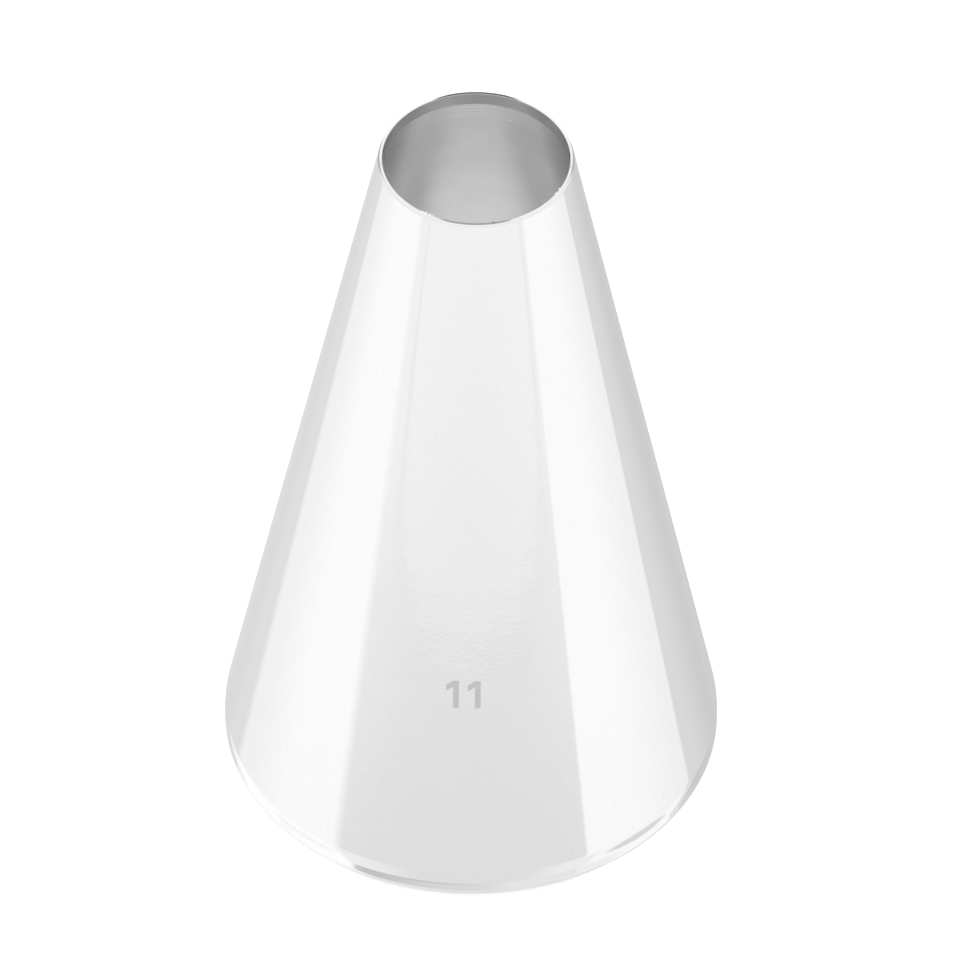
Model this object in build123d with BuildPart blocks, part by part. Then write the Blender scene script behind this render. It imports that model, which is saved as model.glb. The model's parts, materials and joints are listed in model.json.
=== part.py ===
from build123d import *
from math import asin, atan2, cos, degrees, hypot, sin, tan
import os

# A plain round piping nozzle: one sheet of stainless steel drawn into a cone,
# reamed to size at its mouth and rolled inward at its base.
# The sheet is named in two parts, which meet on a flat ring just above the bend at the base.
# Millimetres, +Z up towards the mouth, origin on the axis at the surface it stands on.

# Driving dimensions of the whole nozzle
mouth_radius = 5.5
base_radius = 15.0
nozzle_height = 47.0
sheet_thickness = 0.4

# Driving dimensions of the mouth
ream_depth = 0.8
edge_break = 0.04

# Driving dimensions of the base
bend_inner_radius = 4.2
band_height = 0.4
roll_inner_radius = 0.15
foot_width = 0.3
return_height = 0.6
seam_rise = 0.3

# The base: an upright band under the bend, a roll inward, a flat foot and a short return
bend_radius = bend_inner_radius + sheet_thickness
roll_radius = roll_inner_radius + sheet_thickness
band_top = roll_radius + band_height
band_inner_radius = base_radius - sheet_thickness
bend_centre_radius = base_radius - bend_radius
foot_outer_radius = base_radius - roll_radius
foot_inner_radius = foot_outer_radius - foot_width
return_inner_radius = foot_inner_radius - roll_radius
return_outer_radius = return_inner_radius + sheet_thickness
return_top = roll_radius + return_height

# The cone: its inside runs from the bottom of the reamed mouth to the inside of the bend
ream_bottom = nozzle_height - ream_depth
run_out = bend_centre_radius - mouth_radius
run_up = ream_bottom - band_top
half_angle = atan2(run_out, run_up) + asin(bend_inner_radius / hypot(run_out, run_up))
wall_across = sheet_thickness / cos(half_angle)
mouth_outer_radius = mouth_radius + wall_across - ream_depth * tan(half_angle)

# Turns of the sheet, in degrees
quarter_turn = 90
bend_turn = degrees(half_angle)

# Where the bend starts, outside and inside
outer_bend_radius = bend_centre_radius + bend_radius * cos(half_angle)
outer_bend_height = band_top + bend_radius * sin(half_angle)
inner_bend_radius = bend_centre_radius + bend_inner_radius * cos(half_angle)
inner_bend_height = band_top + bend_inner_radius * sin(half_angle)

# The ring where the two parts meet, on the straight of the cone
seam_height = outer_bend_height + seam_rise
seam_outer_radius = outer_bend_radius - seam_rise * tan(half_angle)
seam_inner_radius = seam_outer_radius - wall_across


# The cone wall, with the reamed mouth and its broken edges
with BuildPart() as cone_wall:
    with BuildSketch(Plane.XZ):
        with BuildLine():
            Polyline(
                (seam_inner_radius, seam_height),
                (seam_outer_radius, seam_height),
                (mouth_outer_radius, nozzle_height),
                (mouth_radius, nozzle_height),
                (mouth_radius, ream_bottom),
                close=True,
            )
        make_face()
    revolve(axis=Axis.Z)
    mouth_rim = cone_wall.faces().sort_by(Axis.Z)[-1]
    chamfer(mouth_rim.edges(), edge_break)


# The rolled hem, one sheet thick: end of the cone, bend, upright band, roll, foot and return
with BuildPart() as rolled_hem:
    with BuildSketch(Plane.XZ):
        with BuildLine():
            # Outside, from the seam down to the cut edge inside the base
            Line((seam_outer_radius, seam_height), (outer_bend_radius, outer_bend_height))
            CenterArc((bend_centre_radius, band_top), bend_radius, bend_turn, -bend_turn)
            Line((base_radius, band_top), (base_radius, roll_radius))
            CenterArc((foot_outer_radius, roll_radius), roll_radius, 0, -quarter_turn)
            Line((foot_outer_radius, 0), (foot_inner_radius, 0))
            CenterArc((foot_inner_radius, roll_radius), roll_radius, -quarter_turn, -quarter_turn)
            Line((return_inner_radius, roll_radius), (return_inner_radius, return_top))
            Line((return_inner_radius, return_top), (return_outer_radius, return_top))
            # Inside, from the cut edge back up to the seam
            Line((return_outer_radius, return_top), (return_outer_radius, roll_radius))
            CenterArc((foot_inner_radius, roll_radius), roll_inner_radius, -2 * quarter_turn, quarter_turn)
            Line((foot_inner_radius, sheet_thickness), (foot_outer_radius, sheet_thickness))
            CenterArc((foot_outer_radius, roll_radius), roll_inner_radius, -quarter_turn, quarter_turn)
            Line((band_inner_radius, roll_radius), (band_inner_radius, band_top))
            CenterArc((bend_centre_radius, band_top), bend_inner_radius, 0, bend_turn)
            Line((inner_bend_radius, inner_bend_height), (seam_inner_radius, seam_height))
            Line((seam_inner_radius, seam_height), (seam_outer_radius, seam_height))
        make_face()
    revolve(axis=Axis.Z)


os.makedirs("parts", exist_ok=True)

cone_wall.part.label = "cone_wall"
export_step(cone_wall.part, "parts/cone_wall.step")

rolled_hem.part.label = "rolled_hem"
export_step(rolled_hem.part, "parts/rolled_hem.step")

print(f"half angle {bend_turn:.3f} degrees, seam at {seam_height:.3f} mm")
print(f"mouth rim {mouth_outer_radius - mouth_radius:.3f} mm wide, foot from {return_inner_radius:.3f} mm")
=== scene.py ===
# %% [markdown]
# # A plain round piping nozzle
# The nozzle is one sheet of stainless steel: a cone, reamed to size at its mouth and rolled
# inward at its base. It stands mouth up on a white table. The measured model is loaded first,
# and every piece below is made around it, in metres, in the same place.

# %% Load the measured model
import json
import math

import bpy
from mathutils import Matrix, Vector


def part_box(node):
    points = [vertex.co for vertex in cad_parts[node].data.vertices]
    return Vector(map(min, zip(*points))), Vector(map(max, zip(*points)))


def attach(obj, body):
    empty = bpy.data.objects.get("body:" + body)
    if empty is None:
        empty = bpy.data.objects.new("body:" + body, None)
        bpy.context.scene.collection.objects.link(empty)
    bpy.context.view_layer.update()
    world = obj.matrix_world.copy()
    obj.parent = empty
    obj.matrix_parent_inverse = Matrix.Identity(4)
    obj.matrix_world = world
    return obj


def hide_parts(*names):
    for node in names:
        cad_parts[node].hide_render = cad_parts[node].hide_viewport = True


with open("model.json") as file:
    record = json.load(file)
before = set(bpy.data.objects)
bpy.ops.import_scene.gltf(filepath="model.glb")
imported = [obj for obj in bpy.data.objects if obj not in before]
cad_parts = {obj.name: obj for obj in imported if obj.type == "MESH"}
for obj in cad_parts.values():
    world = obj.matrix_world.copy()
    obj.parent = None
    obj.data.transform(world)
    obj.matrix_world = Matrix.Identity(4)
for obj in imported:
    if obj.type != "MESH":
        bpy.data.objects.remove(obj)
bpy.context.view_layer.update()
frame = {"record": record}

MM = 0.001

# %% [markdown]
# ## Working by hand, in code
# Edit mode acts on whatever is selected, and the loaded nodes start out selected. So each step
# begins with nothing selected, and faces are then picked by where they are.


# %% Small helpers for selecting and measuring
def start_fresh():
    """Leave edit mode and deselect everything."""
    if bpy.context.mode != "OBJECT":
        bpy.ops.object.mode_set(mode="OBJECT")
    bpy.ops.object.select_all(action="DESELECT")


def work_on(piece):
    """Make a piece the only selected object, ready for a tool."""
    start_fresh()
    piece.select_set(True)
    bpy.context.view_layer.objects.active = piece


def distance_from_axis(point):
    """How far a point lies from the nozzle's axis."""
    return math.hypot(point.x, point.y)


def report_piece(piece):
    """Print how large a piece is."""
    corners = [piece.matrix_world @ v.co for v in piece.data.vertices]
    low = [min(c[i] for c in corners) / MM for i in range(3)]
    high = [max(c[i] for c in corners) / MM for i in range(3)]
    print(piece.name, "faces", len(piece.data.polygons), "from", low, "to", high, "mm")


# %% [markdown]
# ## The sizes of the sheet
# The mouth and the base come from the measured model's interfaces, and the height and the seam
# from its boxes. The sheet's own gauge, its bend and its roll are set here, and everything else
# follows from them by the geometry of a line that just touches a circle.

# %% Read the main sizes from the frame
mounts = {mount["name"]: mount for mount in frame["record"]["mounts"]}
MOUTH_RADIUS = mounts["mouth_bore"]["dims"]["r_mm"] * MM
REAM_DEPTH = mounts["mouth_bore"]["dims"]["length_mm"] * MM
BASE_RADIUS = mounts["base_rim"]["dims"]["r_mm"] * MM
BAND_HEIGHT = mounts["base_rim"]["dims"]["length_mm"] * MM
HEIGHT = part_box("cone_wall")[1][2]
SEAM_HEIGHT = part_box("cone_wall")[0][2]
print("mouth", MOUTH_RADIUS / MM, "base", BASE_RADIUS / MM, "height", HEIGHT / MM, "seam", SEAM_HEIGHT / MM)

# %% Set the gauge of the sheet and work out the cone
SHEET = 0.4 * MM
BEND_INNER = 4.2 * MM
ROLL_INNER = 0.15 * MM
FOOT_WIDTH = 0.3 * MM
RETURN_HEIGHT = 0.6 * MM

bend_radius = BEND_INNER + SHEET
roll_radius = ROLL_INNER + SHEET
band_top = roll_radius + BAND_HEIGHT
bend_centre = BASE_RADIUS - bend_radius
run_out = bend_centre - MOUTH_RADIUS
run_up = HEIGHT - REAM_DEPTH - band_top
HALF_ANGLE = math.atan2(run_out, run_up) + math.asin(BEND_INNER / math.hypot(run_out, run_up))
wall_across = SHEET / math.cos(HALF_ANGLE)
mouth_outer = MOUTH_RADIUS + wall_across - REAM_DEPTH * math.tan(HALF_ANGLE)
seam_outer = mouth_outer + (HEIGHT - SEAM_HEIGHT) * math.tan(HALF_ANGLE)
seam_inner = seam_outer - wall_across
print("half angle", math.degrees(HALF_ANGLE), "rim width", (mouth_outer - MOUTH_RADIUS) / MM)

# %% [markdown]
# ## Spinning the sheet
# A real nozzle is drawn and turned, so it is round about one axis. The same can be done here:
# draw half of the sheet's section, corner by corner, and spin it round the axis. A finished
# cylinder pulled into a cone would be quicker, but it has no roll, no reamed mouth and no gauge.
# The section is a closed loop, so the spun sheet is a closed shell with a real thickness.
#
# Smooth shading blends the direction of a face into its neighbours. Where a long straight stretch
# meets a curve, that blend would bend every reflection on the straight. So each straight stretch
# gets a holding edge very close to each of its ends, and the blend stops there.

# %% Draw a section
ARC_STEPS = 16
STRAIGHT_FROM = 0.065 * MM
HOLD = 0.008 * MM


def arc(centre, radius, start, turn):
    """Points along an arc in the section's plane, angles in degrees."""
    angles = [math.radians(start + turn * i / ARC_STEPS) for i in range(ARC_STEPS + 1)]
    return [(centre[0] + radius * math.cos(a), centre[1] + radius * math.sin(a)) for a in angles]


def hold_straights(points):
    """Add a point close to each end of every straight stretch of a closed section."""
    held = []
    for here, there in zip(points, points[1:] + points[:1]):
        held.append(here)
        length = math.dist(here, there)
        if length > STRAIGHT_FROM:
            for share in (HOLD / length, 1 - HOLD / length):
                held.append(tuple(a + (b - a) * share for a, b in zip(here, there)))
    return held


# %% Spin a section round the axis
SPIN_STEPS = 512
MERGE_WITHIN = 0.001 * MM
SEED_SIZE = 2 * MM


def spin_section(name, points):
    """Extrude one vertex along a closed loop of points, and spin the loop round the axis."""
    start_fresh()
    # A small plane, merged into one point, is where the section starts
    bpy.ops.mesh.primitive_plane_add(size=SEED_SIZE, enter_editmode=True)
    piece = bpy.context.active_object
    piece.name = piece.data.name = name
    bpy.ops.mesh.select_mode(type="VERT")
    bpy.ops.mesh.select_all(action="SELECT")
    bpy.ops.mesh.merge(type="CENTER")
    bpy.ops.transform.translate(value=(points[0][0], 0, points[0][1]))
    loop = points + [points[0]]
    for here, there in zip(loop, loop[1:]):
        step = (there[0] - here[0], 0, there[1] - here[1])
        bpy.ops.mesh.extrude_region_move(TRANSFORM_OT_translate={"value": step})
    bpy.ops.mesh.select_all(action="SELECT")
    bpy.ops.mesh.remove_doubles(threshold=MERGE_WITHIN)
    bpy.ops.mesh.spin(steps=SPIN_STEPS, angle=math.tau, center=(0, 0, 0), axis=(0, 0, 1))
    bpy.ops.mesh.select_all(action="SELECT")
    bpy.ops.mesh.remove_doubles(threshold=MERGE_WITHIN)
    bpy.ops.mesh.normals_make_consistent(inside=False)
    bpy.ops.object.mode_set(mode="OBJECT")
    return piece


# %% [markdown]
# ## The cone wall
# The wall runs from the seam to the mouth. The reamer has cut the inside of the mouth to a short
# true cylinder, which thins the rim. Deburring has rounded the rim's outer corner well over, has
# only just touched the inner one, and has left the rim between them falling a little outwards.
#
# A bevel could round both corners at once, but each has its own radius here, so the two arcs are
# drawn into the section. A rounding touches two straight sides. Its centre lies one radius inside
# both of them, which is where two lines cross.

# %% Find the centre of a rounding
QUARTER_TURN = 90


def facing(way):
    """The unit direction of an angle in degrees."""
    return math.cos(math.radians(way)), math.sin(math.radians(way))


def rounding_centre(first, second, radius):
    """Centre of a rounding against two sides, each a point on it and the way it faces, in degrees."""
    first_point, first_way = first
    second_point, second_way = second
    a, b = facing(first_way)
    c, d = facing(second_way)
    first_reach = first_point[0] * a + first_point[1] * b - radius
    second_reach = second_point[0] * c + second_point[1] * d - radius
    cross = a * d - c * b
    outwards = (first_reach * d - second_reach * b) / cross
    upwards = (a * second_reach - c * first_reach) / cross
    return outwards, upwards


# %% Make the cone wall
OUTER_ROUNDING = 0.16 * MM
INNER_ROUNDING = 0.03 * MM
RIM_FALL = 8

outside_faces = math.degrees(HALF_ANGLE)
rim_faces = QUARTER_TURN - RIM_FALL
inner_centre = (MOUTH_RADIUS + INNER_ROUNDING, HEIGHT - INNER_ROUNDING)
inner_rounding = arc(inner_centre, INNER_ROUNDING, rim_faces, QUARTER_TURN + RIM_FALL)
outside = ((mouth_outer, HEIGHT), outside_faces)
rim = (inner_rounding[0], rim_faces)
outer_centre = rounding_centre(outside, rim, OUTER_ROUNDING)
outer_rounding = arc(outer_centre, OUTER_ROUNDING, outside_faces, rim_faces - outside_faces)
wall_section = [(seam_inner, SEAM_HEIGHT), (seam_outer, SEAM_HEIGHT)]
wall_section += outer_rounding + inner_rounding
wall_section += [(MOUTH_RADIUS, HEIGHT - REAM_DEPTH)]
cone = spin_section("nozzle_cone", hold_straights(wall_section))
print("straight part of the rim", math.dist(outer_rounding[-1], inner_rounding[0]) / MM, "mm")
report_piece(cone)

# %% [markdown]
# ## Small burrs
# Reaming has left a few tiny burrs on the inner edge of the mouth. Each one is a few corners of
# that edge, picked by their direction round the mouth and pushed inwards and down by a hair.
# Picking them by hand would do as well, but a direction in degrees is easy to change later.

# %% Raise the burrs
BURR_REACH = 0.17 * MM
BURR_DROP = 0.06 * MM
BURR_HALF_WIDTH = 0.8
EDGE_REACH = 1.1 * INNER_ROUNDING
BURRS = [(-34, 0.6), (-32, 1.0), (-29, 0.9), (-27, 0.5), (11, 0.5), (58, 0.5), (63, 0.6)]

work_on(cone)
for direction, share in BURRS:
    bpy.ops.object.mode_set(mode="EDIT")
    bpy.ops.mesh.select_mode(type="VERT")
    bpy.ops.mesh.select_all(action="DESELECT")
    bpy.ops.object.mode_set(mode="OBJECT")
    for corner in cone.data.vertices:
        turn = math.degrees(math.atan2(corner.co.x, -corner.co.y))
        at_top = corner.co.z > HEIGHT - EDGE_REACH
        at_edge = at_top and distance_from_axis(corner.co) < MOUTH_RADIUS + EDGE_REACH
        corner.select = at_edge and abs(turn - direction) < BURR_HALF_WIDTH
    bpy.ops.object.mode_set(mode="EDIT")
    angle = math.radians(direction)
    reach = BURR_REACH * share
    drop = BURR_DROP * share
    bpy.ops.transform.translate(value=(-reach * math.sin(angle), reach * math.cos(angle), -drop))
    bpy.ops.object.mode_set(mode="OBJECT")
print("burrs:", len(BURRS))

# %% [markdown]
# ## The rolled hem
# At the base the same sheet bends upright, rolls inward under itself, stands on a narrow flat and
# ends in a short return, which leaves no sharp edge for the bag or the hand. The section follows
# the outside down to the cut edge, and comes back up along the inside, one gauge away.

# %% Make the rolled hem
foot_outer = BASE_RADIUS - roll_radius
foot_inner = foot_outer - FOOT_WIDTH
return_inner = foot_inner - roll_radius
return_outer = return_inner + SHEET
return_top = roll_radius + RETURN_HEIGHT
hem_section = [(seam_outer, SEAM_HEIGHT)]
hem_section += arc((bend_centre, band_top), bend_radius, outside_faces, -outside_faces)
hem_section += arc((foot_outer, roll_radius), roll_radius, 0, -QUARTER_TURN)
hem_section += arc((foot_inner, roll_radius), roll_radius, -QUARTER_TURN, -QUARTER_TURN)
hem_section += [(return_inner, return_top), (return_outer, return_top)]
hem_section += arc((foot_inner, roll_radius), ROLL_INNER, -2 * QUARTER_TURN, QUARTER_TURN)
hem_section += arc((foot_outer, roll_radius), ROLL_INNER, -QUARTER_TURN, QUARTER_TURN)
hem_section += arc((bend_centre, band_top), BEND_INNER, 0, outside_faces)
hem_section += [(seam_inner, SEAM_HEIGHT)]
hem = spin_section("nozzle_hem", hold_straights(hem_section))
report_piece(hem)

# %% [markdown]
# ## Smooth steel, sharp edges
# The sheet is smooth along its curves and sharp only where it was cut: at the bottom of the reamed
# mouth and at the cut edge inside the hem. Shading by angle keeps those sharp, and with them the
# hidden ends of the two pieces, which meet at the seam.

# %% Shade the sheet
SHARP_ABOVE = math.radians(11)
for piece in (cone, hem):
    work_on(piece)
    bpy.ops.object.shade_smooth_by_angle(angle=SHARP_ABOVE)
print("edges sharp above", math.degrees(SHARP_ABOVE), "degrees")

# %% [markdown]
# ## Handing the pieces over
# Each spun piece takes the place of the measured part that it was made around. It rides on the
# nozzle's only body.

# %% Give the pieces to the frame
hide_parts("cone_wall")
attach(cone, "root")
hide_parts("rolled_hem")
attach(hem, "root")
print("given to the frame:", cone.name, hem.name)

# %% [markdown]
# ## The size mark
# The nozzle is marked with its size, the mouth's width in millimetres, burnt in as a matt grey
# number. A digit can be a flat face: a stem, and a flag drawn out of its upper left edge. The
# digits stand in front of the cone, are cut into small faces and are pressed onto it, so that
# they follow its curve. They are a hundredth of a millimetre thick, half of it in the steel.

# %% Draw the two digits
DIGIT_HEIGHT = 1.9 * MM
STEM_WIDTH = 0.34 * MM
FLAG_REACH = 0.42 * MM
FLAG_DROP = 0.3 * MM
FLAG_DEPTH = 0.42 * MM
FLAG_MARGIN = 1.01
DIGIT_PITCH = 1.3 * MM
MARK_SIDE = -0.25 * MM
MARK_HEIGHT = 14.65 * MM


def draw_digit(name, middle):
    """Draw a figure one, standing in front of the nozzle, its stem at a place from side to side."""
    start_fresh()
    standing = (math.radians(QUARTER_TURN), 0, 0)
    in_front = (middle, -BASE_RADIUS, MARK_HEIGHT)
    bpy.ops.mesh.primitive_plane_add(size=1, location=in_front, rotation=standing)
    digit = bpy.context.active_object
    digit.name = digit.data.name = name
    digit.scale = (STEM_WIDTH, DIGIT_HEIGHT, 1)
    bpy.ops.object.transform_apply(location=True, rotation=True, scale=True)
    top = MARK_HEIGHT + DIGIT_HEIGHT / 2
    bpy.ops.object.mode_set(mode="EDIT")
    bpy.ops.mesh.select_all(action="SELECT")
    bpy.ops.mesh.bisect(plane_co=(middle, -BASE_RADIUS, top - FLAG_DEPTH), plane_no=(0, 0, 1))
    bpy.ops.mesh.select_mode(type="EDGE")
    bpy.ops.mesh.select_all(action="DESELECT")
    bpy.ops.object.mode_set(mode="OBJECT")
    for edge in digit.data.edges:
        ends = [digit.data.vertices[i].co for i in edge.vertices]
        edge.select = all(e.x < middle and e.z > top - FLAG_MARGIN * FLAG_DEPTH for e in ends)
    bpy.ops.object.mode_set(mode="EDIT")
    bpy.ops.mesh.extrude_region_move(TRANSFORM_OT_translate={"value": (-FLAG_REACH, 0, -FLAG_DROP)})
    bpy.ops.object.mode_set(mode="OBJECT")
    return digit


digits = [draw_digit("digit", MARK_SIDE + side * DIGIT_PITCH / 2) for side in (-1, 1)]
print("digits:", len(digits))

# %% Cut the digits small and press them onto the cone
MARK_CUTS = 7

start_fresh()
for digit in digits:
    digit.select_set(True)
mark = digits[0]
bpy.context.view_layer.objects.active = mark
bpy.ops.object.join()
mark.name = mark.data.name = "size_mark"
bpy.ops.object.mode_set(mode="EDIT")
bpy.ops.mesh.select_all(action="SELECT")
bpy.ops.mesh.subdivide(number_cuts=MARK_CUTS)
bpy.ops.object.mode_set(mode="OBJECT")
press = mark.modifiers.new("press", "SHRINKWRAP")
press.target = cone
press.wrap_method = "PROJECT"
press.use_project_y = True
press.use_positive_direction = True
bpy.ops.object.modifier_apply(modifier=press.name)
print("faces of the mark:", len(mark.data.polygons))

# %% Give the mark its thickness
MARK_THICK = 0.012 * MM

thicken = mark.modifiers.new("thicken", "SOLIDIFY")
thicken.thickness = MARK_THICK
thicken.offset = 0
bpy.ops.object.modifier_apply(modifier=thicken.name)
bpy.ops.object.mode_set(mode="EDIT")
bpy.ops.mesh.select_all(action="SELECT")
bpy.ops.mesh.normals_make_consistent(inside=False)
bpy.ops.object.mode_set(mode="OBJECT")
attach(mark, "root")
report_piece(mark)

# %% [markdown]
# ## Effects that the finishes share
# Two effects turn up in more than one finish, so each is a node group with its own inputs: fine
# lines that run round the axis, left by turning and reaming; and the unevenness of tumbled sheet,
# as small pebbles, soft waves and wide patches. Each gives out values only, and each finish
# decides what to do with them.


# %% Node helpers
def feed(tree, socket, value):
    """Link a socket to another one, or give it a plain value."""
    if isinstance(value, bpy.types.NodeSocket):
        tree.links.new(value, socket)
    else:
        socket.default_value = value


def add_node(tree, kind, **values):
    """Add a node and set its properties and inputs by name."""
    node = tree.nodes.new(kind)
    for key, value in values.items():
        if key in node.inputs:
            node.inputs[key].default_value = value
        else:
            setattr(node, key, value)
    return node


def math_node(tree, operation, *values):
    """Add a maths node fed by sockets or plain numbers, and return its result."""
    node = add_node(tree, "ShaderNodeMath", operation=operation)
    for socket, value in zip(node.inputs, values):
        feed(tree, socket, value)
    return node.outputs[0]


def start_group(name, inputs, outputs):
    """Start a node group with named number inputs and number outputs."""
    group = bpy.data.node_groups.new(name, "ShaderNodeTree")
    for label, value in inputs.items():
        socket = group.interface.new_socket(label, in_out="INPUT", socket_type="NodeSocketFloat")
        socket.default_value = value
    for label in outputs:
        group.interface.new_socket(label, in_out="OUTPUT", socket_type="NodeSocketFloat")
    return group, group.nodes.new("NodeGroupInput"), group.nodes.new("NodeGroupOutput")


# %% Turned lines: fine rings round the axis
WAVER_NOISE = 600.0


def build_turned_lines():
    """Noise that changes with height alone, but for a little waver on its way round."""
    group, inside, out = start_group("turned_lines", {"Pitch": 0.05 * MM, "Waver": 0.3}, ["Lines"])
    place = group.nodes.new("ShaderNodeTexCoord")
    parts = group.nodes.new("ShaderNodeSeparateXYZ")
    group.links.new(place.outputs["Object"], parts.inputs[0])
    slow = add_node(group, "ShaderNodeTexNoise", Scale=WAVER_NOISE, Detail=1.0)
    group.links.new(place.outputs["Object"], slow.inputs["Vector"])
    height = math_node(group, "DIVIDE", parts.outputs["Z"], inside.outputs["Pitch"])
    waver = math_node(group, "MULTIPLY", slow.outputs[0], inside.outputs["Waver"])
    rings = add_node(group, "ShaderNodeTexNoise", noise_dimensions="1D", Scale=1.0, Detail=3.0, Roughness=0.6)
    feed(group, rings.inputs["W"], math_node(group, "ADD", height, waver))
    group.links.new(rings.outputs[0], out.inputs["Lines"])
    return group


turned_lines = build_turned_lines()
print("group:", turned_lines.name)

# %% Pebbled polish: the faint orange peel of tumbled steel
WAVES_SHARE = 0.15
PATCHES_SHARE = 0.06


def build_pebbled_polish():
    """One kind of noise at three sizes: pebbles of one grain, soft waves and wide patches."""
    group, inside, out = start_group("pebbled_polish", {"Grain": 0.25 * MM}, ["Pebbles", "Waves", "Patches"])
    place = group.nodes.new("ShaderNodeTexCoord")
    scale = math_node(group, "DIVIDE", 1.0, inside.outputs["Grain"])
    for label, share, detail, roughness in (
        ("Pebbles", 1.0, 2.0, 0.5),
        ("Waves", WAVES_SHARE, 1.0, 0.4),
        ("Patches", PATCHES_SHARE, 3.0, 0.55),
    ):
        noise = add_node(group, "ShaderNodeTexNoise", Detail=detail, Roughness=roughness)
        group.links.new(place.outputs["Object"], noise.inputs["Vector"])
        feed(group, noise.inputs["Scale"], math_node(group, "MULTIPLY", scale, share))
        group.links.new(noise.outputs[0], out.inputs[label])
    return group


pebbled_polish = build_pebbled_polish()
print("group:", pebbled_polish.name)

# %% [markdown]
# ## Tools for the finishes
# A finish starts from one shader. What changes over its surface comes from where a point lies on
# the nozzle, so that nothing has to be unwrapped or painted: a height step can put painted shade
# on the foot or grey the mouth without touching the rest.


# %% Start a finish, and bring the groups in
def start_finish(name, metallic):
    """Start a material, and give its shader how metallic it is."""
    material = bpy.data.materials.new(name)
    material.use_nodes = True
    shader = material.node_tree.nodes["Principled BSDF"]
    shader.inputs["Metallic"].default_value = metallic
    return material, material.node_tree, shader


def place_group(tree, group, **values):
    """Add a node group to a finish and set its inputs."""
    node = tree.nodes.new("ShaderNodeGroup")
    node.node_tree = group
    for key, value in values.items():
        node.inputs[key].default_value = value
    return node


def grey(level):
    """A plain grey, as a colour."""
    return (level, level, level, 1)


# %% Spread, fade and mix values
def spread(tree, value, low, high):
    """Map a 0 to 1 value to a range."""
    node = add_node(tree, "ShaderNodeMapRange")
    node.inputs["To Min"].default_value = low
    node.inputs["To Max"].default_value = high
    tree.links.new(value, node.inputs["Value"])
    return node.outputs["Result"]


def fade(tree, value, start, end, first=0.0, last=1.0):
    """A soft change from a first value to a last one, between two places."""
    node = add_node(tree, "ShaderNodeMapRange", interpolation_type="SMOOTHSTEP")
    node.inputs["From Min"].default_value = start
    node.inputs["From Max"].default_value = end
    node.inputs["To Min"].default_value = first
    node.inputs["To Max"].default_value = last
    tree.links.new(value, node.inputs["Value"])
    return node.outputs["Result"]


def along(tree, axis):
    """Where a point lies along one of the nozzle's axes, in metres."""
    place = tree.nodes.new("ShaderNodeTexCoord")
    parts = tree.nodes.new("ShaderNodeSeparateXYZ")
    tree.links.new(place.outputs["Object"], parts.inputs[0])
    return parts.outputs[axis]


def mix_colours(tree, factor, first, second):
    """Mix two colours, each a socket or plain values, by a 0 to 1 socket."""
    node = add_node(tree, "ShaderNodeMix", data_type="RGBA")
    tree.links.new(factor, node.inputs[0])
    feed(tree, node.inputs[6], first)
    feed(tree, node.inputs[7], second)
    return node.outputs[2]


def bump(tree, shader, *layers):
    """Raise the surface by one or more (value, metres at full height) layers."""
    under = None
    for height, distance in layers:
        node = add_node(tree, "ShaderNodeBump", Distance=distance)
        tree.links.new(height, node.inputs["Height"])
        if under:
            tree.links.new(under.outputs["Normal"], node.inputs["Normal"])
        under = node
    tree.links.new(under.outputs["Normal"], shader.inputs["Normal"])


# %% [markdown]
# ## The polished outside
# Stainless steel, tumbled bright: nearly a mirror. A faint pebble dulls it, soft waves bend the
# edges of what it mirrors, and a few turned lines show near the mouth, where the sheet was worked
# most. Near the base there are faint streaks along the cone instead, left by the drawing die. The
# lowest edge of the foot along the front is painted darker: painted shade for the table's contact
# shadow, which the roll mirrors.

# %% Values of the polished outside
POLISH_GRAIN = 0.3 * MM
POLISHED_DARK = (0.86, 0.86, 0.863, 1)
POLISHED_LIGHT = grey(0.9)
POLISHED_ROUGHNESS = (0.015, 0.055)
WAVE_HEIGHT = 0.0012 * MM
PEBBLE_HEIGHT = 0.0006 * MM
MOUTH_LINE_PITCH = 0.3 * MM
MOUTH_LINE_WAVER = 0.6
MOUTH_LINE_HEIGHT = 0.0008 * MM
STREAK_WIDTH = 0.3 * MM
STREAK_STRETCH = 0.05
STREAK_GREY = grey(0.78)
STREAK_SHARE = 0.25
STREAKS_FROM = 14 * MM
STREAKS_FULL = 3 * MM
MOUTH_LINES_FROM = 36 * MM
MOUTH_LINES_FULL = 46 * MM
# Painted shade on the foot's lowest edge at the front, standing in for the table's contact shadow
FOOT_SHADE_GREY = grey(0.6)
FOOT_SHADE_FROM = 0.5 * MM
FOOT_SHADE_FULL = 0.42 * MM
FOOT_SHADE_SIDE = 8.5 * MM
FOOT_SHADE_MIDDLE = 5.5 * MM


# %% Streaks along the cone, and the painted shade on the foot
def lengthwise_streaks(tree):
    """Noise drawn out along the nozzle's height, strongest near the base."""
    place = tree.nodes.new("ShaderNodeTexCoord")
    stretch = add_node(tree, "ShaderNodeMapping", Scale=(1, 1, STREAK_STRETCH))
    tree.links.new(place.outputs["Object"], stretch.inputs["Vector"])
    noise = add_node(tree, "ShaderNodeTexNoise", Scale=1 / STREAK_WIDTH, Detail=2.0)
    tree.links.new(stretch.outputs[0], noise.inputs["Vector"])
    near_base = fade(tree, along(tree, "Z"), STREAKS_FROM, STREAKS_FULL)
    return math_node(tree, "MULTIPLY", noise.outputs[0], near_base)


def painted_foot_shade(tree):
    """Painted shade: 1 on the lowest edge of the foot at the middle of the front, fading to 0 towards the
    sides.
    """
    low_down = fade(tree, along(tree, "Z"), FOOT_SHADE_FROM, FOOT_SHADE_FULL)
    aside = math_node(tree, "ABSOLUTE", along(tree, "X"))
    return math_node(tree, "MULTIPLY", low_down, fade(tree, aside, FOOT_SHADE_SIDE, FOOT_SHADE_MIDDLE))


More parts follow.
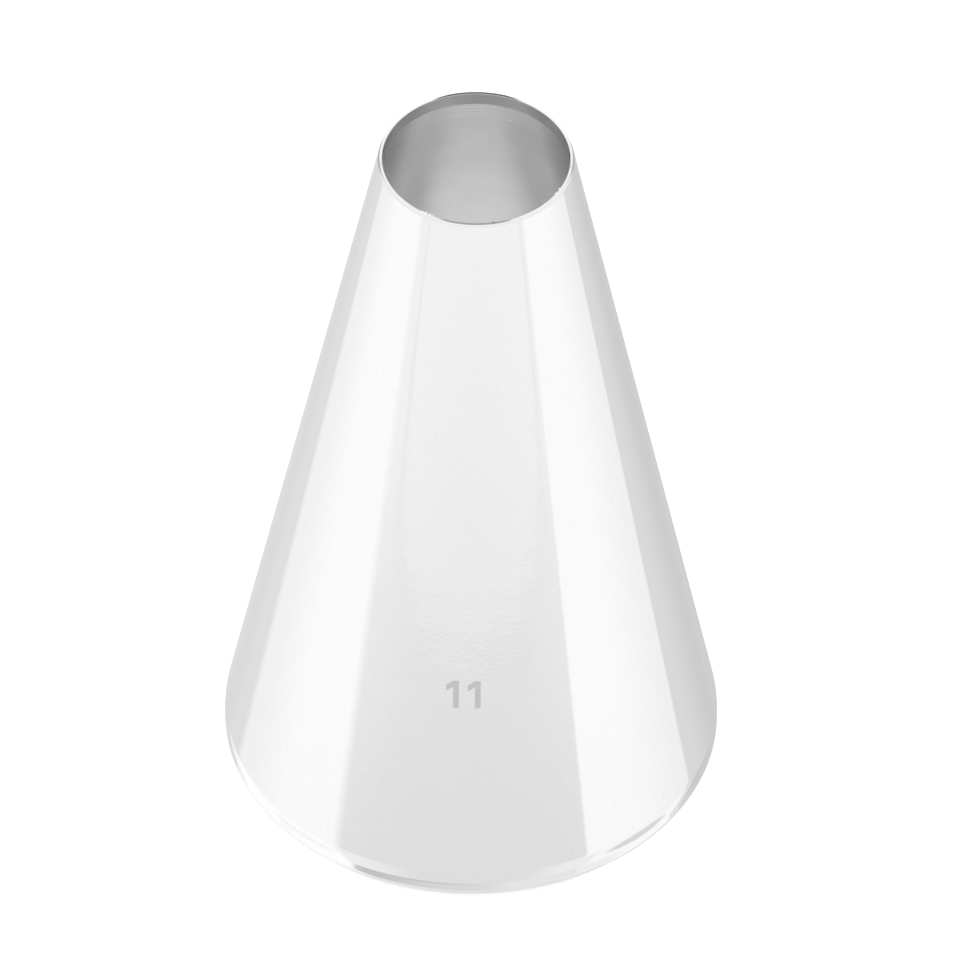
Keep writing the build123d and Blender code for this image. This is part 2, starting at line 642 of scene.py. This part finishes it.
# %% Polished outside
def build_polished_outside():
    """The bright sheet: pebbles, waves, streaks low down, and turned lines near the mouth."""
    finish, tree, shader = start_finish("polished_outside", metallic=1.0)
    polish = place_group(tree, pebbled_polish, Grain=POLISH_GRAIN)
    lines = place_group(tree, turned_lines, Pitch=MOUTH_LINE_PITCH, Waver=MOUTH_LINE_WAVER)
    steel = mix_colours(tree, polish.outputs["Pebbles"], POLISHED_DARK, POLISHED_LIGHT)
    streaks = math_node(tree, "MULTIPLY", lengthwise_streaks(tree), STREAK_SHARE)
    steel = mix_colours(tree, streaks, steel, STREAK_GREY)
    # Painted shade: the foot's lowest edge is greyed at the front, where the table's contact shadow falls
    steel = mix_colours(tree, painted_foot_shade(tree), steel, FOOT_SHADE_GREY)
    tree.links.new(steel, shader.inputs["Base Color"])
    roughness = spread(tree, polish.outputs["Patches"], *POLISHED_ROUGHNESS)
    tree.links.new(roughness, shader.inputs["Roughness"])
    near_mouth = fade(tree, along(tree, "Z"), MOUTH_LINES_FROM, MOUTH_LINES_FULL)
    rings = math_node(tree, "MULTIPLY", lines.outputs["Lines"], near_mouth)
    waves = (polish.outputs["Waves"], WAVE_HEIGHT)
    pebbles = (polish.outputs["Pebbles"], PEBBLE_HEIGHT)
    bump(tree, shader, waves, pebbles, (rings, MOUTH_LINE_HEIGHT))
    return finish


polished_outside = build_polished_outside()
print("finish:", polished_outside.name)

# %% [markdown]
# ## The drawn inside
# The inside keeps the grey satin of the drawing dies, with faint lines round the axis. The
# reamer's guide has streaked it just under the mouth, and a faint pale ring shows where it
# stopped. A few specks of scale are left here and there.

# %% Values of the drawn inside
SATIN_DARK = grey(0.56)
SATIN_LIGHT = (0.7, 0.7, 0.695, 1)
SATIN_ROUGHNESS = (0.285, 0.335)
SATIN_LINE_PITCH = 0.12 * MM
SATIN_LINE_WAVER = 1.2
SATIN_LINE_HEIGHT = 0.003 * MM
GUIDE_DARK = grey(0.48)
GUIDE_LIGHT = grey(0.88)
GUIDE_FROM = 45.1 * MM
GUIDE_FULL = 45.5 * MM
RING_PALE = grey(0.9)
RING_SHARE = 0.3
RING_FROM = 44.85 * MM
RING_FULL = 45.05 * MM
SPECK_PITCH = 1.4 * MM
SPECK_SIZE = 0.04
DARK_SPECK = grey(0.35)
PALE_SPECK = grey(0.95)
DARK_SHIFT = 0.0
PALE_SHIFT = 7.0


# %% Specks of scale
def scale_specks(tree, shift):
    """1 on a few tiny specks, which another shift puts elsewhere."""
    place = tree.nodes.new("ShaderNodeTexCoord")
    moved = add_node(tree, "ShaderNodeMapping", Location=(shift, shift, shift))
    tree.links.new(place.outputs["Object"], moved.inputs["Vector"])
    cells = add_node(tree, "ShaderNodeTexVoronoi", Scale=1 / SPECK_PITCH)
    tree.links.new(moved.outputs[0], cells.inputs["Vector"])
    return math_node(tree, "LESS_THAN", cells.outputs["Distance"], SPECK_SIZE)


# %% Drawn inside
def build_drawn_inside():
    """The grey satin, with the guide's streaks, the ring below them and the specks on top."""
    finish, tree, shader = start_finish("drawn_inside", metallic=1.0)
    lines = place_group(tree, turned_lines, Pitch=SATIN_LINE_PITCH, Waver=SATIN_LINE_WAVER)
    polish = place_group(tree, pebbled_polish, Grain=POLISH_GRAIN)
    mottle = math_node(tree, "ADD", lines.outputs["Lines"], polish.outputs["Waves"])
    satin = mix_colours(tree, math_node(tree, "MULTIPLY", mottle, 0.5), SATIN_DARK, SATIN_LIGHT)
    guide_streaks = mix_colours(tree, lines.outputs["Lines"], GUIDE_DARK, GUIDE_LIGHT)
    rubbed = fade(tree, along(tree, "Z"), GUIDE_FROM, GUIDE_FULL)
    steel = mix_colours(tree, rubbed, satin, guide_streaks)
    above = fade(tree, along(tree, "Z"), RING_FROM, RING_FULL)
    ring = math_node(tree, "SUBTRACT", above, rubbed)
    ring = math_node(tree, "MULTIPLY", ring, polish.outputs["Patches"])
    steel = mix_colours(tree, math_node(tree, "MULTIPLY", ring, RING_SHARE), steel, RING_PALE)
    steel = mix_colours(tree, scale_specks(tree, DARK_SHIFT), steel, DARK_SPECK)
    steel = mix_colours(tree, scale_specks(tree, PALE_SHIFT), steel, PALE_SPECK)
    tree.links.new(steel, shader.inputs["Base Color"])
    roughness = spread(tree, polish.outputs["Patches"], *SATIN_ROUGHNESS)
    tree.links.new(roughness, shader.inputs["Roughness"])
    bump(tree, shader, (lines.outputs["Lines"], SATIN_LINE_HEIGHT))
    return finish


drawn_inside = build_drawn_inside()
print("finish:", drawn_inside.name)

# %% [markdown]
# ## The reamed rim
# The reamer leaves a fine dull cut inside the mouth, with rings far finer than the gauge.
# They are the same turned lines as elsewhere, only closer together.

# %% Reamed rim
CUT_DARK = grey(0.5)
CUT_LIGHT = grey(0.76)
CUT_ROUGHNESS = (0.12, 0.28)
CUT_LINE_PITCH = 0.035 * MM
CUT_LINE_WAVER = 0.5
CUT_LINE_HEIGHT = 0.002 * MM


def build_reamed_rim():
    """The fresh cut, whose colour, roughness and height all follow its rings."""
    finish, tree, shader = start_finish("reamed_rim", metallic=1.0)
    lines = place_group(tree, turned_lines, Pitch=CUT_LINE_PITCH, Waver=CUT_LINE_WAVER)
    cut = mix_colours(tree, lines.outputs["Lines"], CUT_DARK, CUT_LIGHT)
    tree.links.new(cut, shader.inputs["Base Color"])
    roughness = spread(tree, lines.outputs["Lines"], *CUT_ROUGHNESS)
    tree.links.new(roughness, shader.inputs["Roughness"])
    bump(tree, shader, (lines.outputs["Lines"], CUT_LINE_HEIGHT))
    return finish


reamed_rim = build_reamed_rim()
print("finish:", reamed_rim.name)

# %% [markdown]
# ## The burnt mark
# The laser leaves a dull grey oxide that hardly mirrors. It is less metallic than the steel round
# it, and rough, so it stays grey in whatever light falls on it.

# %% Burnt mark
OXIDE_DARK = grey(0.54)
OXIDE_LIGHT = grey(0.65)
OXIDE_METALLIC = 0.35
OXIDE_GRAIN = 0.12 * MM
OXIDE_ROUGHNESS = (0.5, 0.65)


def build_burnt_mark():
    """The grey oxide, a little uneven."""
    finish, tree, shader = start_finish("burnt_mark", metallic=OXIDE_METALLIC)
    polish = place_group(tree, pebbled_polish, Grain=OXIDE_GRAIN)
    oxide = mix_colours(tree, polish.outputs["Pebbles"], OXIDE_DARK, OXIDE_LIGHT)
    tree.links.new(oxide, shader.inputs["Base Color"])
    roughness = spread(tree, polish.outputs["Pebbles"], *OXIDE_ROUGHNESS)
    tree.links.new(roughness, shader.inputs["Roughness"])
    return finish


burnt_mark = build_burnt_mark()
mark.data.materials.append(burnt_mark)
print("finish:", burnt_mark.name)

# %% [markdown]
# ## Which face gets which finish
# A face's middle and its direction tell what it is: the reamed cut inside the mouth, the polished
# outside of the sheet, which goes on round the rim and the roll, or the drawn inside.

# %% Give each face of the cone its finish
POLISHED = 0
DRAWN = 1
REAMED = 2
FACES_UP = 0.85

for piece in (cone, hem):
    for finish in (polished_outside, drawn_inside, reamed_rim):
        piece.data.materials.append(finish)

for face in cone.data.polygons:
    at = face.center
    outward = face.normal.x * at.x + face.normal.y * at.y
    if at.z > HEIGHT - REAM_DEPTH:
        on_rim = outward >= 0 or face.normal.z > FACES_UP
        face.material_index = POLISHED if on_rim else REAMED
    else:
        face.material_index = POLISHED if outward > 0 else DRAWN
print("finishes on the cone:", sorted({face.material_index for face in cone.data.polygons}))

# %% Give each face of the hem its finish
roll_middle = ROLL_INNER + SHEET / 2
for face in hem.data.polygons:
    at = face.center
    outward = face.normal.x * at.x + face.normal.y * at.y
    from_axis = distance_from_axis(at)
    # The sheet's outside goes on round the roll, under the foot and up the side that faces the axis
    nearest = min(max(from_axis, foot_inner), foot_outer)
    round_the_roll = math.hypot(from_axis - nearest, at.z - roll_radius) > roll_middle
    if at.z < roll_radius:
        face.material_index = POLISHED if round_the_roll else DRAWN
    elif from_axis < return_outer:
        face.material_index = POLISHED if outward < 0 else DRAWN
    else:
        face.material_index = POLISHED if outward > 0 else DRAWN
print("finishes on the hem:", sorted({face.material_index for face in hem.data.polygons}))

# %% [markdown]
# ## The table
# A white table, which the camera sees as pure white but for a trace of the nozzle's own soft
# shadow. The steel looks through it, as through a glass table over a light: what the steel mirrors
# from below is the light under it. The table lies a hair below the foot, so that the two faces
# never share one plane, which would speckle.


# %% Which rays come from the steel
def seen_in_steel(tree):
    """1 for a ray that left a mirror or a glass, and 0 for any other."""
    rays = tree.nodes.new("ShaderNodeLightPath")
    return math_node(tree, "MAXIMUM", rays.outputs["Is Glossy Ray"], rays.outputs["Is Transmission Ray"])


def mix_shaders(tree, factor, first, second):
    """Blend two shaders by a socket."""
    node = tree.nodes.new("ShaderNodeMixShader")
    tree.links.new(factor, node.inputs[0])
    tree.links.new(first, node.inputs[1])
    tree.links.new(second, node.inputs[2])
    return node.outputs[0]


# %% Lay the table
TABLE_SIZE = 3.0
TABLE_GAP = 0.01 * MM
TABLE_WHITE = grey(0.9)
TABLE_GLOW = 0.43

start_fresh()
bpy.ops.mesh.primitive_plane_add(size=TABLE_SIZE, location=(0, 0, -TABLE_GAP))
table = bpy.context.active_object
table.name = "table"
table_paint = bpy.data.materials.new("white_table")
table_paint.use_nodes = True
paint = table_paint.node_tree
paint.nodes.clear()
surface = paint.nodes.new("ShaderNodeOutputMaterial")
white = add_node(paint, "ShaderNodeBsdfDiffuse", Color=TABLE_WHITE).outputs[0]
glow = add_node(paint, "ShaderNodeEmission", Strength=TABLE_GLOW)
rays = paint.nodes.new("ShaderNodeLightPath")
paint.links.new(rays.outputs["Is Camera Ray"], glow.inputs["Color"])
lit = paint.nodes.new("ShaderNodeAddShader")
paint.links.new(white, lit.inputs[0])
paint.links.new(glow.outputs[0], lit.inputs[1])
clear = paint.nodes.new("ShaderNodeBsdfTransparent").outputs[0]
table_look = mix_shaders(paint, seen_in_steel(paint), lit.outputs[0], clear)
paint.links.new(table_look, surface.inputs["Surface"])
table.data.materials.append(table_paint)
print("table:", TABLE_SIZE, "m wide")

# %% [markdown]
# ## The studio
# Steel has no look of its own: what paints it is what stands round it. So the world holds a ring
# of light panels, tipped a little towards the camera, and only the steel sees it. All else is lit
# by an even white. Lamps and cards hung in the scene would do the same, but here a panel is one
# line, and moves by changing a number.
#
# The panels are hung one in front of another, each with soft or crisp edges. A direction is in
# degrees round the nozzle, 0 towards the camera and plus to the right. A top and a foot are in
# degrees below the horizon, so minus is above it. A level of 1 is white.

# %% Directions in the tipped ring
RING_TIP = 7.6

world = bpy.data.worlds.new("studio")
bpy.context.scene.world = world
world.use_nodes = True
studio = world.node_tree
studio.nodes.clear()
sky = studio.nodes.new("ShaderNodeOutputWorld")
place = studio.nodes.new("ShaderNodeTexCoord")
tip = add_node(studio, "ShaderNodeMapping", vector_type="VECTOR")
tip.inputs["Rotation"].default_value = (math.radians(RING_TIP), 0, 0)
studio.links.new(place.outputs["Generated"], tip.inputs["Vector"])
parts = studio.nodes.new("ShaderNodeSeparateXYZ")
studio.links.new(tip.outputs[0], parts.inputs[0])
towards_camera = math_node(studio, "MULTIPLY", parts.outputs["Y"], -1.0)
turn = math_node(studio, "ARCTAN2", parts.outputs["X"], towards_camera)
around = math_node(studio, "MULTIPLY", turn, math.degrees(1))
drop = math_node(studio, "ARCSINE", math_node(studio, "MULTIPLY", parts.outputs["Z"], -1.0))
below = math_node(studio, "MULTIPLY", drop, math.degrees(1))
print("the ring is tipped by", RING_TIP, "degrees")

# %% How a panel is hung
ALL_LEFT = -200
ALL_RIGHT = 200
UP = -100
DOWN = 100


def between(value, low, high, low_soft, high_soft):
    """1 between two places and 0 outside them, with its own softness at each."""
    rise = fade(studio, value, low - low_soft, low + low_soft)
    fall = fade(studio, value, high - high_soft, high + high_soft)
    return math_node(studio, "SUBTRACT", rise, fall)


def put_in_front(behind, mask, level):
    """Cover what is behind with a level, a socket or a plain number, where the mask is 1."""
    node = add_node(studio, "ShaderNodeMix", data_type="FLOAT")
    studio.links.new(mask, node.inputs[0])
    feed(studio, node.inputs[2], behind)
    feed(studio, node.inputs[3], level)
    return node.outputs[0]


def hang_panel(behind, level, top, foot, left=ALL_LEFT, right=ALL_RIGHT, sides=(2, 2), ends=(1, 1)):
    """Hang a panel by its top and foot and its sides, with how soft each of these is."""
    span = between(around, left, right, *sides)
    reach = between(below, top, foot, *ends)
    return put_in_front(behind, math_node(studio, "MULTIPLY", span, reach), level)


def hang_oval(behind, level, middle, depth, half_width, half_height, soft):
    """Hang an oval panel about a direction and a depth."""
    across = math_node(studio, "MULTIPLY_ADD", around, 1 / half_width, -middle / half_width)
    down = math_node(studio, "MULTIPLY_ADD", below, 1 / half_height, -depth / half_height)
    square = math_node(studio, "MULTIPLY", across, across)
    out = math_node(studio, "MULTIPLY_ADD", down, down, square)
    return put_in_front(behind, fade(studio, out, 1 + soft, 1 - soft), level)


# %% [markdown]
# ### What each part of the nozzle mirrors
# The camera stands still and the cone is straight, so the cone mirrors only a thin belt of the
# ring, about 28 to 31 degrees down. The bend and the roll at the base sweep on from there to
# straight down. The rim looks up, at the ceiling and at the dark end of the room behind.

# %% The room above: dark straight behind, then white, grey and white again round to the front
CONE_TOP = 20
CONE_FOOT = 34
ROOM_GREY = 0.8
DARK_END = 0.12
ROOM_PANELS = ((174.8, 1.06, 0.7), (151, 0.5, 4), (125, 0.95, 7))

room = hang_panel(ROOM_GREY, DARK_END, top=UP, foot=CONE_TOP, ends=(1, 3))
for side, level, soft in ROOM_PANELS:
    both = (soft, soft)
    room = hang_panel(room, level, top=UP, foot=CONE_TOP, left=-side, right=side, sides=both, ends=(1, 3))
print("room panels:", 1 + len(ROOM_PANELS))

# %% The ceiling, with the grey strip behind that draws the near rim's thin line
ring = hang_panel(room, 1.0, top=UP, foot=-48, left=-174.5, right=174.5, sides=(0.7, 0.7), ends=(1, 3))
ring = hang_panel(ring, 0.42, top=-73, foot=-50)
ring = hang_panel(ring, 1.0, top=-73, foot=-50, left=-169, right=169, sides=(1.5, 1.5))
ring = hang_panel(ring, 1.0, top=UP, foot=-73, ends=(1, 1.5))
print("nodes in the studio so far:", len(studio.nodes))

# %% The grey wall, darker far round on the right
left_wall = fade(studio, around, -152, -135, first=0.765, last=0.82)
right_wall = fade(studio, around, 117, 150, first=0.785, last=0.66)
ring = hang_panel(ring, left_wall, top=CONE_TOP, foot=60, right=0)
ring = hang_panel(ring, right_wall, top=CONE_TOP, foot=CONE_FOOT, left=0)
ring = hang_panel(ring, 0.76, top=CONE_FOOT, foot=60, left=0)
ring = hang_panel(ring, 0.655, top=33.5, foot=41.5, left=124, sides=(3, 2), ends=(1, 2))
print("nodes in the studio so far:", len(studio.nodes))

# %% The board in front, with a brighter round one and its shadow on it
upper_board = fade(studio, below, 28.3, 29.3, first=1.0, last=0.93)
lower_board = fade(studio, below, 29, 30.6, first=0, last=-0.085)
board = math_node(studio, "ADD", upper_board, lower_board)
ring = hang_panel(ring, board, top=CONE_TOP, foot=CONE_FOOT, left=-66, right=60)
its_shadow = fade(studio, below, 28.7, 30.3, first=0.94, last=0.84)
ring = hang_oval(ring, its_shadow, middle=-1, depth=28, half_width=52, half_height=2.34, soft=0.06)
round_board = fade(studio, below, 28, 30.6, first=1.01, last=0.925)
ring = hang_oval(ring, round_board, middle=-1, depth=28, half_width=49.5, half_height=2.15, soft=0.05)
print("nodes in the studio so far:", len(studio.nodes))

# %% The lower half of the board, which the bend at the base mirrors
ring = hang_panel(ring, 0.965, top=32.5, foot=49.5, left=-68, right=62)
ring = hang_panel(ring, 0.835, top=31.5, foot=49.5, left=-36, right=35, sides=(16, 16))
ring = hang_panel(ring, 0.78, top=49.5, foot=58, left=-75, right=12, sides=(3, 16), ends=(1.5, 1))
ring = hang_panel(ring, 0.9, top=49.5, foot=58, left=12, right=64, sides=(16, 4), ends=(1.5, 1))
ring = hang_panel(ring, 0.62, top=50, foot=53, left=-73, right=-8, sides=(3, 22), ends=(1, 1.5))
print("nodes in the studio so far:", len(studio.nodes))

# %% The left panel, and the brighter light under it
left_light = fade(studio, around, -124, -88, first=0.99, last=1.09)
ring = hang_panel(ring, left_light, top=CONE_TOP, foot=CONE_FOOT, left=-128, right=-61.2, sides=(3, 3.5))
ring = hang_panel(ring, 1.0, top=33.5, foot=68, left=-146, right=-64, sides=(2.5, 3))
ring = hang_panel(ring, 1.125, top=33.5, foot=68, left=-136, right=-64, sides=(3, 3))
ring = hang_panel(ring, 1.04, top=40, foot=44.5, left=-106, right=-70, sides=(5, 5), ends=(1.5, 1.5))
print("nodes in the studio so far:", len(studio.nodes))

# %% The right panel, and the grey stand that shows under it
right_light = fade(studio, around, 76, 118, first=1.085, last=0.98)
ring = hang_panel(ring, right_light, top=CONE_TOP, foot=CONE_FOOT, left=53.4, right=114.8, sides=(1, 0.8))
ring = hang_panel(ring, 0.87, top=33.5, foot=60, left=60, right=122, sides=(3, 1.5))
ring = hang_panel(ring, 1.08, top=33.5, foot=66, left=60, right=115, sides=(3, 1.5))
ring = hang_panel(ring, 0.97, top=48, foot=62, left=60, right=86, sides=(3, 5), ends=(2, 1))
ring = hang_oval(ring, 0.78, middle=86.5, depth=39.7, half_width=18, half_height=4.2, soft=0.5)
print("nodes in the studio so far:", len(studio.nodes))

# %% The light under the table, shaded by the nozzle straight below it
ring = hang_panel(ring, 0.78, top=58.5, foot=67, left=-45, right=15, sides=(10, 14))
ring = hang_panel(ring, 1.25, top=67, foot=DOWN, ends=(2, 1))
ring = hang_panel(ring, 1.0, top=80, foot=DOWN, ends=(4, 1))
print("nodes in the studio so far:", len(studio.nodes))

# %% Show the ring to the steel, and an even white to all else
panels = add_node(studio, "ShaderNodeBackground", Strength=1.0)
studio.links.new(ring, panels.inputs["Color"])
even = add_node(studio, "ShaderNodeBackground", Color=grey(1), Strength=1.0)
all_round = mix_shaders(studio, seen_in_steel(studio), even.outputs[0], panels.outputs[0])
studio.links.new(all_round, sky.inputs["Surface"])
print("nodes in the whole studio:", len(studio.nodes))

# %% [markdown]
# ## The camera
# The photograph looks down on the nozzle at about 45 degrees through a long lens. Its distance,
# height and slight roll were worked out from the nozzle's outline and from the ellipse of the
# mouth, with the lens held at one length. A camera could be aimed by eye, but a cone this plain
# shows an error of half a degree.

# %% Camera
LENS = 500
SENSOR_WIDTH = 36
CLIP_END = 10
CAMERA_DISTANCE = 798.869 * MM
CAMERA_ELEVATION = math.radians(44.793)
CAMERA_ROLL = math.radians(0.564)
CAMERA_AIM = Vector((0.407 * MM, 0, 20.47 * MM))

start_fresh()
bpy.ops.object.camera_add()
camera = bpy.context.active_object
camera.data.lens = LENS
camera.data.sensor_width = SENSOR_WIDTH
camera.data.clip_end = CLIP_END
back = Vector((0, -math.cos(CAMERA_ELEVATION), math.sin(CAMERA_ELEVATION)))
stand = Matrix.Translation(CAMERA_AIM + back * CAMERA_DISTANCE)
tilt = Matrix.Rotation(math.radians(QUARTER_TURN) - CAMERA_ELEVATION, 4, "X")
roll = Matrix.Rotation(CAMERA_ROLL, 4, "Z")
camera.matrix_world = stand @ tilt @ roll
bpy.context.scene.camera = camera
bpy.context.scene.view_settings.view_transform = "Standard"
print("camera", CAMERA_DISTANCE, "m away")
